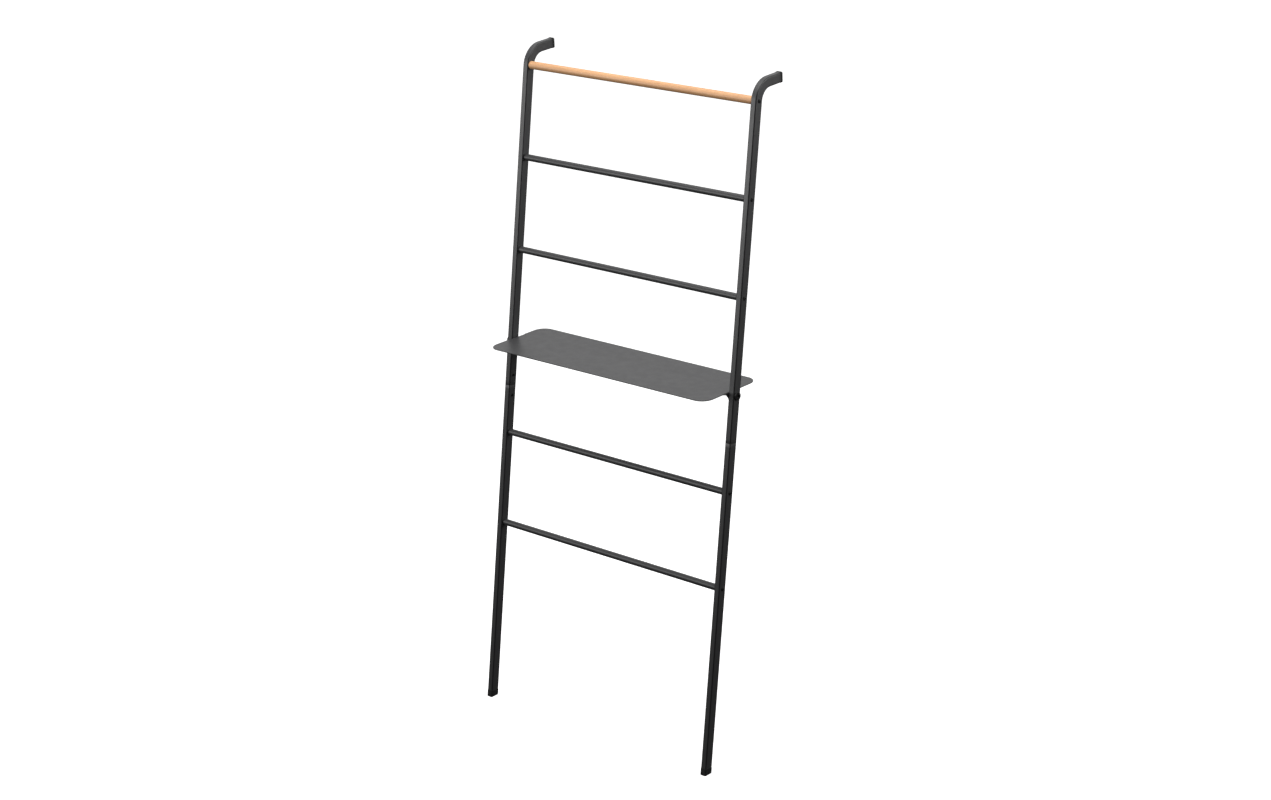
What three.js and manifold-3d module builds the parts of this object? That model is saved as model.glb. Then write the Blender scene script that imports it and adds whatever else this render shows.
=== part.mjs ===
// A ladder rack that leans on a wall: two uprights bent over at the top, one wooden rail, four steel
// rungs and a sheet-steel shelf. Millimetres, +Z up. The floor is z = 0, the wall stands at +Y and the
// rack's width runs along X. Distances "along" an upright are measured from the floor on its centre line.
import * as THREE from "three";
import { mergeVertices } from "three/addons/utils/BufferGeometryUtils.js";
import Module from "manifold-3d";

// Overall sizes
const uprightSpacing = 689; // between the centre lines of the two uprights
const straightLength = 1565; // along an upright, from the floor to the start of its bend
const leanDegrees = 8.8; // uprights from the vertical
const bendRadius = 43; // centre line of the bend at the top
const hookRiseDegrees = 2.5; // the end of the bend above the horizontal
const hookReach = 43; // level distance from the end of the bend to the wall

// Upright tube
const tubeWidth = 15.5; // along X
const tubeDepth = 23;
const tubeWall = 1.2;
const tubeCorner = 2.5;

// Joint between the two sections of an upright
const spigotLength = 96;
const spigotWall = 2;
const jointScrewSpacing = 50;
const jointScrewRadius = 1.9;
const jointHeadRadius = 3.3;
const jointHeadHeight = 1.6;
const jointScrewLength = 6;

// End caps
const capSkin = 0.6; // how far a cap stands out from the tube
const capBase = 4; // cap material beyond the tube's end
const footHeight = 15;
const wallCapLength = 6;

// The ladder's steps along the uprights, from the wooden rail downwards
const bendToRail = 0; // the rail below the start of the bend
const railToRung1 = 218.7;
const rung1ToRung2 = 222.2;
const rung2ToShelf = 223.4;
const shelfToJoint = 110;
const shelfToRung3 = 226;
const rung3ToRung4 = 226.7;

// Rail and rungs
const railDiameter = 19;
const rungDiameter = 16;
const rungWall = 1.2;
const plugLength = 14;
const insertRadius = 4.4;
const insertLength = 16;
const insertHoleSpare = 1.5; // the blind hole in the wood beyond the insert

// Bolts of the rail and rungs
const boltRadius = 2.4;
const boltGrip = 10; // how far a bolt reaches into its plug or insert
const boltHeadRadius = 4.6;
const boltHeadHeight = 1.9;

// Shelf
const shelfDepth = 192;
const shelfThickness = 2;
const shelfCorner = 30;
const shelfBoltDrop = 8.8; // the shelf bolt below the shelf's top face
const earTopWidth = 58;
const earBottomWidth = 24;
const earDrop = 21; // the ear's lowest edge below the shelf's top face
const earCorner = 7;
const earFlange = 5; // where the underside of the ear's wide part turns down into its tongue
const earTongueWidth = 33; // where the tongue leaves the wide part
const shelfBoltRadius = 2.9;
const shelfBoltHeadRadius = 9.6;
const shelfBoltHeadHeight = 3.2;
const shelfBoltTail = 1.5; // the bolt's end beyond its nut
const nutRadius = 5.7;
const nutThickness = 5;

// Clearances and smoothness
const gap = 0.1; // left between faces that rest on each other
const slipFit = 0.2; // a piece that slides into another, each side
const boltClearance = 0.4; // holes in sheet and tube, on the radius
const threadClearance = 0.1;
const roundSegments = 32;
const boltSegments = 20;
const cornerSegments = 2;
const bendSteps = 12;
const socketSides = 6;

const steelPaint = { colour: 0x3b3b3c, roughness: 0.62, metalness: 0.25 };
const blackPaint = { colour: 0x2b2b2c, roughness: 0.5, metalness: 0.4 };
const rubber = { colour: 0x1b1b1b, roughness: 0.85, metalness: 0 };
const oak = { colour: 0xd9b285, roughness: 0.6, metalness: 0 };
const steel = { colour: 0x9a9a98, roughness: 0.4, metalness: 0.9 };

const wasm = await Module();
wasm.setup();

const lean = THREE.MathUtils.degToRad(leanDegrees);
const hookRise = THREE.MathUtils.degToRad(hookRiseDegrees);
const innerFace = (uprightSpacing - tubeWidth) / 2;
const outerFace = (uprightSpacing + tubeWidth) / 2;
const upright = new THREE.Vector3(0, Math.sin(lean), Math.cos(lean));
const towardsWall = new THREE.Vector3(0, Math.cos(lean), -Math.sin(lean));

// The point at a distance along an upright's centre line, at x = 0.
function along(distance) {
  return upright.clone().multiplyScalar(distance);
}

// A geometry as a manifold solid.
function solid(geometry) {
  const bare = geometry.index ? geometry.toNonIndexed() : geometry;
  const shape = new THREE.BufferGeometry().setAttribute("position", bare.getAttribute("position"));
  const merged = mergeVertices(shape, 1e-4);
  const made = new wasm.Manifold(
    new wasm.Mesh({
      numProp: 3,
      vertProperties: new Float32Array(merged.attributes.position.array),
      triVerts: new Uint32Array(merged.index.array),
    }),
  );
  return made;
}

// A manifold solid as a geometry.
function geometryOf(body) {
  const mesh = body.getMesh();
  const geometry = new THREE.BufferGeometry();
  geometry.setAttribute("position", new THREE.BufferAttribute(mesh.vertProperties, 3));
  geometry.setIndex(new THREE.BufferAttribute(mesh.triVerts, 1));
  geometry.computeVertexNormals();
  return geometry;
}

// A rounded rectangle centred on the origin, drawn into a shape or a hole.
function roundedRectangle(outline, width, depth, corner) {
  const x = width / 2 - corner;
  const y = depth / 2 - corner;
  const turn = Math.PI / 2;
  outline.moveTo(x + corner, -y);
  outline.lineTo(x + corner, y);
  outline.absarc(x, y, corner, 0, turn);
  outline.lineTo(-x, y + corner);
  outline.absarc(-x, y, corner, turn, 2 * turn);
  outline.lineTo(-x - corner, -y);
  outline.absarc(-x, -y, corner, 2 * turn, 3 * turn);
  outline.lineTo(x, -y - corner);
  outline.absarc(x, -y, corner, 3 * turn, 4 * turn);
  return outline;
}

// The tube's outline, grown outwards by skin and hollowed to the given wall (0 leaves it solid).
function tubeSection(skin, wall) {
  const corner = Math.max(tubeCorner + skin, 0.8);
  const shape = roundedRectangle(new THREE.Shape(), tubeWidth + 2 * skin, tubeDepth + 2 * skin, corner);
  if (wall > 0) {
    const inset = 2 * (wall - skin);
    const innerCorner = Math.max(corner - wall, 0.8);
    shape.holes.push(
      roundedRectangle(new THREE.Path(), tubeWidth - inset, tubeDepth - inset, innerCorner),
    );
  }
  return shape;
}

// A path through given stations, so that an extrusion spends its steps on the bend.
class StationPath extends THREE.Curve {
  constructor(stations) {
    super();
    this.stations = stations;
  }
  stationAt(share) {
    return this.stations[Math.round(share * (this.stations.length - 1))];
  }
  getPointAt(share) {
    return this.stationAt(share).point.clone();
  }
  getTangentAt(share) {
    return this.stationAt(share).tangent.clone();
  }
}

// A section carried along stations in the plane of one upright.
function sweep(section, stations) {
  return new THREE.ExtrudeGeometry(section, {
    steps: stations.length - 1,
    curveSegments: cornerSegments,
    extrudePath: new StationPath(stations),
  });
}

function straightStations(from, to) {
  return [from, to].map((distance) => ({ point: along(distance), tangent: upright }));
}

// The bend: its centre, the end of its arc, and the level direction that follows it.
const bendCentre = along(straightLength).addScaledVector(towardsWall, bendRadius);
const bendTurn = Math.PI / 2 - hookRise - lean;
const hookDirection = new THREE.Vector3(0, Math.cos(hookRise), Math.sin(hookRise));

function bendStation(angle) {
  return {
    point: bendCentre
      .clone()
      .addScaledVector(towardsWall, -bendRadius * Math.cos(angle))
      .addScaledVector(upright, bendRadius * Math.sin(angle)),
    tangent: upright
      .clone()
      .multiplyScalar(Math.cos(angle))
      .addScaledVector(towardsWall, Math.sin(angle)),
  };
}

const bendEnd = bendStation(bendTurn).point;
const wallPlane = bendEnd.y + hookReach;
const hookLength = hookReach / Math.cos(hookRise);

function hookStation(distance) {
  return { point: bendEnd.clone().addScaledVector(hookDirection, distance), tangent: hookDirection };
}

// A cylinder along X, from one x to another, on the line at the given place.
function barX(radius, fromX, toX, place, segments) {
  return new THREE.CylinderGeometry(radius, radius, Math.abs(toX - fromX), segments)
    .rotateZ(-Math.PI / 2)
    .translate((fromX + toX) / 2, place.y, place.z);
}

// A tube or ring along X with a plain bore.
function ringX(radius, boreRadius, fromX, toX, place, segments) {
  const low = Math.min(fromX, toX);
  const high = Math.max(fromX, toX);
  const body = solid(barX(radius, low, high, place, segments));
  return body.subtract(solid(barX(boreRadius, low - 1, high + 1, place, segments)));
}

// A screw with a round head and a hex socket. Its head's seat is at seatX and its outside faces side.
function screwX(side, seatX, place, size) {
  const edge = 0.5;
  const profile = [
    [0, 0],
    [size.radius - edge, 0],
    [size.radius, edge],
    [size.radius, size.length],
    [size.headRadius, size.length],
    [size.headRadius, size.length + size.headHeight - edge],
    [size.headRadius - edge, size.length + size.headHeight],
    [0, size.length + size.headHeight],
  ].map(([radius, height]) => new THREE.Vector2(radius, height));
  const body = solid(
    new THREE.LatheGeometry(profile, boltSegments).translate(0, -size.length, 0),
  );
  const socketDepth = size.headHeight * 0.75;
  const socket = new THREE.CylinderGeometry(
    size.socketRadius,
    size.socketRadius,
    2 * socketDepth,
    socketSides,
  ).translate(0, size.headHeight, 0);
  return geometryOf(body.subtract(solid(socket)))
    .rotateZ((-side * Math.PI) / 2)
    .translate(seatX, place.y, place.z);
}

const rack = new THREE.Group();
rack.name = "leaning_ladder_rack";

function add(name, geometry, finish) {
  const material = new THREE.MeshStandardMaterial({
    color: finish.colour,
    roughness: finish.roughness,
    metalness: finish.metalness,
  });
  const mesh = new THREE.Mesh(geometry, material);
  mesh.name = name;
  rack.add(mesh);
  return mesh;
}

const sides = { left: -1, right: 1 };
const railAlong = straightLength - bendToRail;
const rung1Along = railAlong - railToRung1;
const rung2Along = rung1Along - rung1ToRung2;
const shelfAlong = rung2Along - rung2ToShelf;
const jointAlong = shelfAlong - shelfToJoint;
const rung3Along = shelfAlong - shelfToRung3;
const rung4Along = rung3Along - rung3ToRung4;
const rungs = { rung_1: rung1Along, rung_2: rung2Along, rung_3: rung3Along, rung_4: rung4Along };
const jointScrewPlaces = {
  lower: jointAlong - jointScrewSpacing / 2,
  upper: jointAlong + jointScrewSpacing / 2,
};

// Cuts a round hole along X through a body that stands at x = 0.
function drill(body, radius, fromX, toX, distance) {
  return body.subtract(solid(barX(radius, fromX, toX, along(distance), boltSegments)));
}

// Uprights, their joints and end caps
for (const [sideName, side] of Object.entries(sides)) {
  const centreX = (side * uprightSpacing) / 2;
  const through = tubeWidth;
  const inward = -side * through;
  const boltHole = boltRadius + boltClearance;
  const screwHole = jointScrewRadius + boltClearance;

  let lower = solid(sweep(tubeSection(0, tubeWall), straightStations(capBase, jointAlong - gap / 2)));
  let upper = solid(
    sweep(tubeSection(0, tubeWall), [
      { point: along(jointAlong + gap / 2), tangent: upright },
      ...Array.from({ length: bendSteps + 1 }, (_, i) => bendStation((bendTurn * i) / bendSteps)),
      hookStation(hookLength - capBase),
    ]),
  );
  for (const distance of Object.values(rungs)) {
    if (distance < jointAlong) lower = drill(lower, boltHole, -through, through, distance);
    else upper = drill(upper, boltHole, -through, through, distance);
  }
  upper = drill(upper, boltHole, -through, through, railAlong);
  upper = drill(upper, shelfBoltRadius + boltClearance, -through, through, shelfAlong);
  lower = drill(lower, screwHole, 0, inward, jointScrewPlaces.lower);
  upper = drill(upper, screwHole, 0, inward, jointScrewPlaces.upper);
  add(sideName + "_upright_lower", geometryOf(lower).translate(centreX, 0, 0), steelPaint);
  add(sideName + "_upright_upper", geometryOf(upper).translate(centreX, 0, 0), steelPaint);

  const spigotSkin = -tubeWall - slipFit;
  let spigot = solid(
    sweep(
      tubeSection(spigotSkin, spigotWall),
      straightStations(jointAlong - spigotLength / 2, jointAlong + spigotLength / 2),
    ),
  );
  for (const distance of Object.values(jointScrewPlaces))
    spigot = drill(spigot, jointScrewRadius + threadClearance, 0, inward, distance);
  add(sideName + "_joint_spigot", geometryOf(spigot).translate(centreX, 0, 0), steel);

  for (const [level, distance] of Object.entries(jointScrewPlaces))
    add(
      sideName + "_joint_screw_" + level,
      screwX(-side, side * (innerFace - gap), along(distance), {
        radius: jointScrewRadius,
        length: jointScrewLength,
        headRadius: jointHeadRadius,
        headHeight: jointHeadHeight,
        socketRadius: jointHeadRadius / 2,
      }),
      blackPaint,
    );

  // The foot is cut level with the floor, and the wall cap is cut flush with the wall.
  const room = 4 * tubeDepth;
  const aboveFloor = new THREE.BoxGeometry(room, room, room).translate(0, 0, room / 2);
  const foot = solid(sweep(tubeSection(capSkin, 0), straightStations(-capBase, footHeight)))
    .intersect(solid(aboveFloor))
    .subtract(
      solid(sweep(tubeSection(slipFit, 0), straightStations(capBase - gap, footHeight + capBase))),
    );
  add(sideName + "_foot", geometryOf(foot).translate(centreX, 0, 0), rubber);

  const beforeWall = new THREE.BoxGeometry(room, room, room).translate(0, wallPlane - room / 2, bendEnd.z);
  const wallCap = solid(
    sweep(tubeSection(capSkin, 0), [hookStation(hookLength - wallCapLength), hookStation(hookLength + capBase)]),
  )
    .intersect(solid(beforeWall))
    .subtract(
      solid(
        sweep(tubeSection(slipFit, 0), [
          hookStation(hookLength - wallCapLength - capBase),
          hookStation(hookLength - capBase + gap),
        ]),
      ),
    );
  add(sideName + "_wall_cap", geometryOf(wallCap).translate(centreX, 0, 0), rubber);
}

// Wooden rail, with a threaded insert in each end
const railPlace = along(railAlong);
const railEnd = innerFace - gap;
let rail = solid(barX(railDiameter / 2, -railEnd, railEnd, railPlace, roundSegments));
for (const side of Object.values(sides))
  rail = rail.subtract(
    solid(
      barX(
        insertRadius + threadClearance,
        side * (railEnd - insertLength - insertHoleSpare),
        side * (railEnd + 1),
        railPlace,
        boltSegments,
      ),
    ),
  );
add("wood_rail", geometryOf(rail), oak);

const boltSize = {
  radius: boltRadius,
  length: tubeWidth + 2 * gap + boltGrip,
  headRadius: boltHeadRadius,
  headHeight: boltHeadHeight,
  socketRadius: boltRadius,
};
const boreRadius = boltRadius + threadClearance;

for (const [sideName, side] of Object.entries(sides)) {
  add(
    "wood_rail_insert_" + sideName,
    geometryOf(
      ringX(insertRadius, boreRadius, side * railEnd, side * (railEnd - insertLength), railPlace, boltSegments),
    ),
    steel,
  );
  add("wood_rail_bolt_" + sideName, screwX(side, side * (outerFace + gap), railPlace, boltSize), blackPaint);
}

// Steel rungs, each with a threaded plug in either end
for (const [name, distance] of Object.entries(rungs)) {
  const place = along(distance);
  const rungRadius = rungDiameter / 2;
  const rungBore = rungRadius - rungWall;
  add(name, geometryOf(ringX(rungRadius, rungBore, -railEnd, railEnd, place, roundSegments)), steelPaint);
  for (const [sideName, side] of Object.entries(sides)) {
    add(
      name + "_plug_" + sideName,
      geometryOf(
        ringX(rungBore - gap, boreRadius, side * railEnd, side * (railEnd - plugLength), place, boltSegments),
      ),
      steel,
    );
    add(name + "_bolt_" + sideName, screwX(side, side * (outerFace + gap), place, boltSize), blackPaint);
  }
}

// Shelf: a plate with an ear folded down at each end, bolted through the uprights
const shelfBoltPlace = along(shelfAlong);
const shelfTop = shelfBoltPlace.z + shelfBoltDrop;
const shelfY = shelfTop * Math.tan(lean);
const shelfWidth = 2 * (innerFace - slipFit);

const plate = new THREE.ExtrudeGeometry(
  roundedRectangle(new THREE.Shape(), shelfWidth, shelfDepth, shelfCorner),
  { depth: shelfThickness, bevelEnabled: false, curveSegments: 2 * cornerSegments },
).translate(0, shelfY, shelfTop - shelfThickness);

// The ear's outline in the (y, z) plane: a wide, shallow part that curves in to a tongue, which
// tapers down to a rounded lower edge.
function earShape() {
  const top = earTopWidth / 2;
  const tongue = earTongueWidth / 2;
  const bottom = earBottomWidth / 2;
  const outline = new THREE.Shape();
  outline.moveTo(-top, 0);
  outline.lineTo(-top, -shelfThickness);
  outline.quadraticCurveTo(-tongue, -earFlange, -tongue, -2 * earFlange);
  outline.lineTo(-bottom, earCorner - earDrop);
  outline.quadraticCurveTo(-bottom, -earDrop, -bottom + earCorner, -earDrop);
  outline.lineTo(bottom - earCorner, -earDrop);
  outline.quadraticCurveTo(bottom, -earDrop, bottom, earCorner - earDrop);
  outline.lineTo(tongue, -2 * earFlange);
  outline.quadraticCurveTo(tongue, -earFlange, top, -shelfThickness);
  outline.lineTo(top, 0);
  return outline;
}

let shelf = solid(plate);
for (const side of Object.values(sides)) {
  const ear = new THREE.ExtrudeGeometry(earShape(), {
    depth: shelfThickness,
    bevelEnabled: false,
    curveSegments: 2 * cornerSegments,
  })
    .applyMatrix4(
      new THREE.Matrix4().makeBasis(
        new THREE.Vector3(0, 1, 0),
        new THREE.Vector3(0, 0, 1),
        new THREE.Vector3(1, 0, 0),
      ),
    )
    .translate(side * (shelfWidth / 2) - (side > 0 ? shelfThickness : 0), shelfY, shelfTop);
  const hole = barX(
    shelfBoltRadius + boltClearance,
    side * (innerFace - 4 * shelfThickness),
    side * (innerFace + shelfThickness),
    shelfBoltPlace,
    boltSegments,
  );
  shelf = shelf.add(solid(ear)).subtract(solid(hole));
}
add("shelf", geometryOf(shelf), steelPaint);

const nutFace = innerFace - slipFit - shelfThickness - gap;
for (const [sideName, side] of Object.entries(sides)) {
  add(
    "shelf_bolt_" + sideName,
    screwX(side, side * (outerFace + gap), shelfBoltPlace, {
      radius: shelfBoltRadius,
      length: outerFace + gap - nutFace + nutThickness + shelfBoltTail,
      headRadius: shelfBoltHeadRadius,
      headHeight: shelfBoltHeadHeight,
      socketRadius: shelfBoltRadius,
    }),
    blackPaint,
  );
  const nut = solid(
    barX(nutRadius, side * nutFace, side * (nutFace - nutThickness), shelfBoltPlace, socketSides),
  ).subtract(
    solid(
      barX(
        shelfBoltRadius + threadClearance,
        side * innerFace,
        side * (nutFace - 2 * nutThickness),
        shelfBoltPlace,
        boltSegments,
      ),
    ),
  );
  add("shelf_nut_" + sideName, geometryOf(nut), steel);
}

// The origin is moved below the middle of the rack's footprint.
const shelfFront = shelfY - shelfDepth / 2;
const footFront = -(tubeDepth / 2 + capSkin) / Math.cos(lean);
const front = Math.min(shelfFront, footFront);
for (const mesh of rack.children) mesh.geometry.translate(0, -(front + wallPlane) / 2, 0);

export default rack;
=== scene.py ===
"""A leaning ladder rack in powder-coated steel and oiled hardwood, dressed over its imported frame.

All lengths are metres. X runs along the rungs, +Y points to the wall and +Z points up, as in the
frame. Every piece is built around the place and size of the frame node that it stands for.
"""

import logging
import math
from collections.abc import Callable, Mapping, Sequence
from dataclasses import dataclass, field
from enum import Enum

import bmesh
import bpy
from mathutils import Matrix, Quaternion, Vector


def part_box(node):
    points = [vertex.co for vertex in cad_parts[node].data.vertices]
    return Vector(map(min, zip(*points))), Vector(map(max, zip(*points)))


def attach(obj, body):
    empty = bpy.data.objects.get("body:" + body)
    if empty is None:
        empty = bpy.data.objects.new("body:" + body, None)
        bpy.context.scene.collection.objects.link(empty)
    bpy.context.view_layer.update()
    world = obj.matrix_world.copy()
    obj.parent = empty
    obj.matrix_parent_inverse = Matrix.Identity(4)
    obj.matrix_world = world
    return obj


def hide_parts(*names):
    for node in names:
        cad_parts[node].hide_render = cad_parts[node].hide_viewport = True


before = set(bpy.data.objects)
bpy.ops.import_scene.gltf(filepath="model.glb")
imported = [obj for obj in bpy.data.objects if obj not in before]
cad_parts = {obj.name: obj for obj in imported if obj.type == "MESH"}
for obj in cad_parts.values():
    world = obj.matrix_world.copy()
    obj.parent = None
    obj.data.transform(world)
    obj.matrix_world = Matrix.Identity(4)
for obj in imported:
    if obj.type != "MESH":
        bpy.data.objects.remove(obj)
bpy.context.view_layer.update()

LOG = logging.getLogger("leaning_rack")
BODY = "root"
ACROSS = Vector((1.0, 0.0, 0.0))
TOWARDS_WALL = Vector((0.0, 1.0, 0.0))
UP = Vector((0.0, 0.0, 1.0))
MM = 0.001
Colour = tuple[float, float, float]
Ring = list[bmesh.types.BMVert]
FlatPoint = tuple[float, float]
RUNGS = ("rung_1", "rung_2", "rung_3", "rung_4")


class Side(Enum):
    """The two uprights, by the sign of their X."""

    LEFT = -1
    RIGHT = 1

    @property
    def word(self) -> str:
        """The side's name in node and piece names."""
        return self.name.lower()


class HeadShape(Enum):
    """How the head of a socket screw is turned."""

    BUTTON = "button"
    FLAT = "flat"


# Shader graphs


class Signal:
    """A node's output that Python's operators build on."""

    def __init__(self, graph: "Graph", socket: bpy.types.NodeSocket) -> None:
        """Wraps a socket.

        Args:
            graph: The graph that the socket belongs to.
            socket: The output socket.
        """
        self.graph = graph
        self.socket = socket

    def __add__(self, other: "Signal | float") -> "Signal":
        """The sum."""
        return self.graph.maths("ADD", self, other)

    def __radd__(self, other: float) -> "Signal":
        """The sum, number first."""
        return self.graph.maths("ADD", other, self)

    def __sub__(self, other: "Signal | float") -> "Signal":
        """The difference."""
        return self.graph.maths("SUBTRACT", self, other)

    def __rsub__(self, other: float) -> "Signal":
        """The difference, number first."""
        return self.graph.maths("SUBTRACT", other, self)

    def __mul__(self, other: "Signal | float") -> "Signal":
        """The product."""
        return self.graph.maths("MULTIPLY", self, other)

    def __rmul__(self, other: float) -> "Signal":
        """The product, number first."""
        return self.graph.maths("MULTIPLY", other, self)

    def __truediv__(self, other: "Signal | float") -> "Signal":
        """The quotient."""
        return self.graph.maths("DIVIDE", self, other)

    def __pow__(self, other: "Signal | float") -> "Signal":
        """The power."""
        return self.graph.maths("POWER", self, other)

    def clipped(self) -> "Signal":
        """The value held between 0 and 1."""
        return self.graph.maths("MINIMUM", self.graph.maths("MAXIMUM", self, 0.0), 1.0)

    def above(self, level: float, softness: float) -> "Signal":
        """A soft step.

        Args:
            level: The value at which the step starts.
            softness: How much higher the value is where the step ends.

        Returns:
            0 below the level and 1 above it, with a straight ramp between.
        """
        return ((self - level) / softness).clipped()


class Graph:
    """A node tree that is written as Python expressions."""

    def __init__(self, tree: bpy.types.NodeTree) -> None:
        """Empties a node tree to build in it.

        Args:
            tree: The node tree of a material or a world.
        """
        self.tree = tree
        tree.nodes.clear()

    def node(
        self,
        kind: str,
        settings: Mapping[str, object] | None = None,
        inputs: Mapping[str | int, object] | None = None,
        output: str | int = 0,
    ) -> Signal:
        """Adds a node.

        Args:
            kind: The node's type name.
            settings: Properties that are set first. "stops" fills a colour ramp.
            inputs: Values or signals, by socket name or number.
            output: The socket that the returned signal reads.

        Returns:
            The chosen output as a signal. A node with no outputs gives its first input.
        """
        made = self.tree.nodes.new(kind)
        for key, value in (settings or {}).items():
            if key == "stops":
                self._fill_ramp(made.color_ramp, value)
            else:
                setattr(made, key, value)
        for key, value in (inputs or {}).items():
            self._feed(made.inputs[key], value)
        sockets = made.outputs if made.outputs else made.inputs
        return Signal(self, sockets[output])

    def _feed(self, socket: bpy.types.NodeSocket, value: object) -> None:
        """Sets or links one input socket.

        Args:
            socket: The input socket.
            value: A signal to link, or a value to set. A colour may leave out its alpha.
        """
        if isinstance(value, Signal):
            self.tree.links.new(value.socket, socket)
        elif socket.type == "RGBA" and len(value) == 3:
            socket.default_value = (*value, 1.0)
        else:
            socket.default_value = value

    @staticmethod
    def _fill_ramp(ramp: bpy.types.ColorRamp, stops: Sequence[tuple[float, Colour]]) -> None:
        """Gives a colour ramp its stops.

        Args:
            ramp: The ramp.
            stops: Each stop's place and colour, in order.
        """
        while len(ramp.elements) < len(stops):
            ramp.elements.new(1.0)
        for element, (place, colour) in zip(ramp.elements, stops, strict=True):
            element.position = place
            element.color = (*colour, 1.0)

    def maths(self, operation: str, a: "Signal | float", b: "Signal | float") -> Signal:
        """A Math node on two values."""
        return self.node("ShaderNodeMath", {"operation": operation}, {0: a, 1: b})

    def vector(self, operation: str, a: object, b: object) -> Signal:
        """A Vector Math node on two vectors."""
        return self.node("ShaderNodeVectorMath", {"operation": operation}, {0: a, 1: b})

    def mix(self, share: "Signal | float", a: object, b: object) -> Signal:
        """A colour that goes from a to b as share goes from 0 to 1."""
        settings = {"data_type": "RGBA", "clamp_factor": True}
        return self.node("ShaderNodeMix", settings, {"Factor": share, 6: a, 7: b}, 2)

    def place(self) -> Signal:
        """The point on the object, in metres in the frame."""
        return self.node("ShaderNodeTexCoord", output="Object")

    def split(self, vector: Signal) -> tuple[Signal, Signal, Signal]:
        """Takes a vector apart.

        Args:
            vector: The vector.

        Returns:
            Its X, Y and Z parts.
        """
        node = self.tree.nodes.new("ShaderNodeSeparateXYZ")
        self._feed(node.inputs[0], vector)
        x, y, z = (Signal(self, output) for output in node.outputs)
        return x, y, z

    def noise(self, where: Signal, size: float, detail: float = 2.0, rough: float = 0.5) -> Signal:
        """Smooth noise.

        Args:
            where: The coordinates.
            size: The size of a feature, in the coordinates' unit.
            detail: The number of finer layers.
            rough: The weight of the finer layers.

        Returns:
            A value around 0.5.
        """
        values = {"Vector": where, "Scale": 1.0 / size, "Detail": detail, "Roughness": rough}
        return self.node("ShaderNodeTexNoise", {"noise_dimensions": "3D"}, values, "Fac")

    def wear(self) -> Signal:
        """The wear-and-shade value that the meshes carry, from 1 on an exposed edge to -1 deep in a
        recess; finishes paint wear, painted shade and painted highlights with it.
        """
        return self.node("ShaderNodeAttribute", {"attribute_name": "wear"}, output="Fac")

    def upward(self) -> Signal:
        """How far the surface faces up, from -1 to 1."""
        normal = self.node("ShaderNodeNewGeometry", output="Normal")
        return self.split(normal)[2]

    def bump(self, height: Signal, depth: float, strength: float = 1.0) -> Signal:
        """A normal from a height.

        Args:
            height: The height, from 0 to 1.
            depth: The real height of 1, in metres.
            strength: How strongly it shows.

        Returns:
            The bumped normal.
        """
        values = {"Strength": strength, "Distance": depth, "Height": height}
        return self.node("ShaderNodeBump", None, values)

    def surface(self, **values: object) -> None:
        """Ends a material's graph in a Principled BSDF.

        Args:
            values: The shader's inputs, with underscores in place of the spaces in their names.
        """
        named = {key.replace("_", " "): value for key, value in values.items()}
        shader = self.node("ShaderNodeBsdfPrincipled", None, named)
        self.node("ShaderNodeOutputMaterial", None, {"Surface": shader})


# Finishes


def brighter(colour: Colour, times: float) -> Colour:
    """A colour made brighter, or darker where times is below 1."""
    return (times * colour[0], times * colour[1], times * colour[2])


@dataclass(frozen=True)
class Finish:
    """A finish and the record's material slot that it belongs to."""

    name: str
    slot: str

    def material(self) -> bpy.types.Material:
        """Gives the finish as a material.

        Returns:
            The material, which is made on its first use.
        """
        found = bpy.data.materials.get(self.name)
        if found is None:
            found = bpy.data.materials.new(self.name)
            found.use_nodes = True
            self.paint(Graph(found.node_tree))
        return found

    def paint(self, graph: Graph) -> None:
        """Builds the finish's nodes in a graph."""
        raise NotImplementedError


@dataclass(frozen=True)
class PowderCoat(Finish):
    """Baked matte powder on steel: a fine pebbled skin, smoother along the edges, with painted shade
    darkening them.
    """

    name: str = "powder_coat_matte_black"
    slot: str = "powder_coat"
    colour: Colour = (0.040, 0.040, 0.0415)
    # The painted shade along the edges and corners.
    edge_colour: Colour = (0.007, 0.007, 0.0075)
    dust_colour: Colour = (0.085, 0.085, 0.086)
    pebble: float = 0.0011
    speck: float = 0.0004
    pebble_depth: float = 0.00005
    drift_size: float = 0.14
    handling_size: float = 0.021
    light_tone: float = 1.22
    edge_share: float = 0.85
    dust_share: float = 0.22
    roughness: float = 0.4

    def paint(self, graph: Graph) -> None:
        """Builds the finish's nodes.

        Args:
            graph: The material's empty graph.
        """
        place = graph.place()
        pebbles = graph.noise(place, self.pebble, 2.0, 0.45)
        specks = graph.noise(place, self.speck, 1.0)
        drift = graph.noise(place, self.drift_size, 3.0, 0.55)
        handling = graph.noise(place, self.handling_size, 4.0, 0.62)
        # The edge mask paints shade along the edges and also makes them smoother.
        edge = (graph.wear() * (0.55 + 0.9 * handling)).clipped()
        dust = graph.upward().above(0.55, 0.4) * handling.above(0.34, 0.4)
        tone = (0.35 * drift + 0.35 * specks.above(0.42, 0.3)).clipped()
        colour = graph.mix(tone, self.colour, brighter(self.colour, self.light_tone))
        colour = graph.mix(self.edge_share * edge, colour, self.edge_colour)
        colour = graph.mix(self.dust_share * dust, colour, self.dust_colour)
        rough = self.roughness + 0.1 * (handling - 0.5) + 0.06 * (drift - 0.5) - 0.07 * edge
        graph.surface(
            Base_Color=colour,
            Roughness=rough + 0.06 * dust,
            Metallic=0.0,
            Specular_IOR_Level=0.5,
            Normal=graph.bump(0.7 * pebbles + 0.3 * specks, self.pebble_depth, 0.6),
        )


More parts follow.
